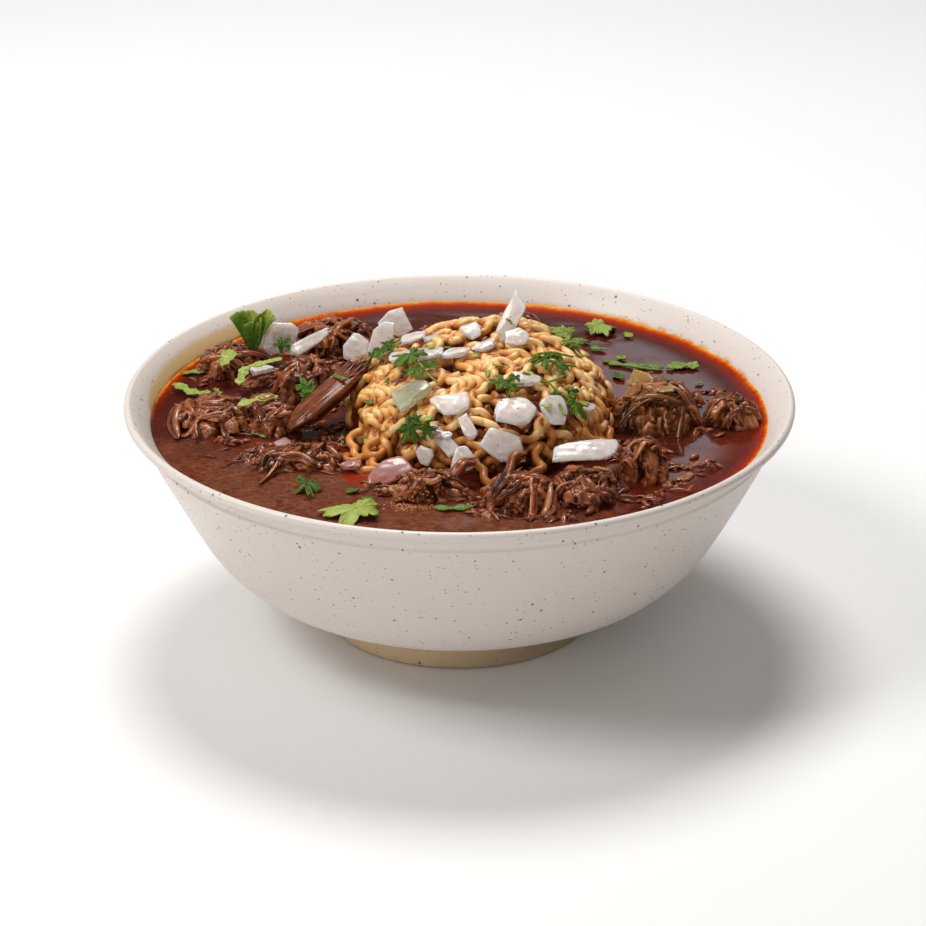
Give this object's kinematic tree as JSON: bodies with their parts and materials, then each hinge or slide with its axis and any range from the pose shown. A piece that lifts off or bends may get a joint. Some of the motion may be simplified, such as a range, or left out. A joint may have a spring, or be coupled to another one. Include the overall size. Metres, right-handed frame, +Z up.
{
  "type": "bowl of birria ramen",
  "caption": "Round footed bowl of red broth with a heap of wavy noodles, shredded beef, diced white onion and chopped cilantro, resting flat on its foot.",
  "frame": {"origin": "on the bowl's axis, in the plane that its foot rests on", "axes": "+Z up along the bowl's axis, -Y towards the side that the bowl is served and seen from, +X to the right of that view"},
  "size_m": [0.216, 0.216, 0.1084],
  "materials": {
    "bowl": "speckled off-white melamine, semi-gloss",
    "broth": "dark red oily liquid, glossy",
    "noodles": "wet cream-yellow noodle",
    "beef": "wet fibrous cooked beef, dark brown",
    "onion": "raw white onion, slightly translucent",
    "leaf": "fresh chopped cilantro leaf"
  },
  "bodies": {
    "root": {"bowl": "bowl", "broth": "broth", "noodles": "noodles", "beef_back": "beef", "beef_back_left": "beef", "beef_far_right": "beef", "beef_front": "beef", "beef_front_left": "beef", "beef_front_mid": "beef", "beef_front_right": "beef", "beef_left": "beef", "beef_left_back": "beef", "beef_left_inner": "beef", "beef_mid_left": "beef", "beef_right": "beef", "beef_slab": "beef", "beef_upright": "beef", "leaf_back_dark": "leaf", "leaf_back_float": "leaf", "leaf_back_right": "leaf", "leaf_dark_float": "leaf", "leaf_fan": "leaf", "leaf_front_dark": "leaf", "leaf_glassy": "leaf", "leaf_left_dark": "leaf", "leaf_light_front": "leaf", "leaf_mid_left": "leaf", "leaf_right_edge": "leaf", "leaf_right_sprig": "leaf", "leaf_right_upper": "leaf", "onion_back_flat": "onion", "onion_back_round": "onion", "onion_back_upright": "onion", "onion_front_bright": "onion", "onion_front_low": "onion", "onion_front_small": "onion", "onion_front_strip": "onion", "onion_front_upper": "onion", "onion_glassy": "onion", "onion_left_low": "onion", "onion_left_sliver": "onion", "onion_left_upright": "onion", "onion_long_right": "onion", "onion_long_top": "onion", "onion_low_square": "onion", "onion_pink_large": "onion", "onion_pink_small": "onion", "onion_right_back": "onion", "onion_right_large": "onion", "onion_right_pair": "onion", "onion_slab_top": "onion", "onion_top_bright": "onion", "onion_top_left": "onion", "onion_top_mid": "onion", "onion_top_right": "onion", "onion_top_shard": "onion", "strip_chain": "leaf", "strip_left_fold": "leaf", "strip_light_long": "leaf", "strip_yellow": "leaf"}
  },
  "joints": []
}
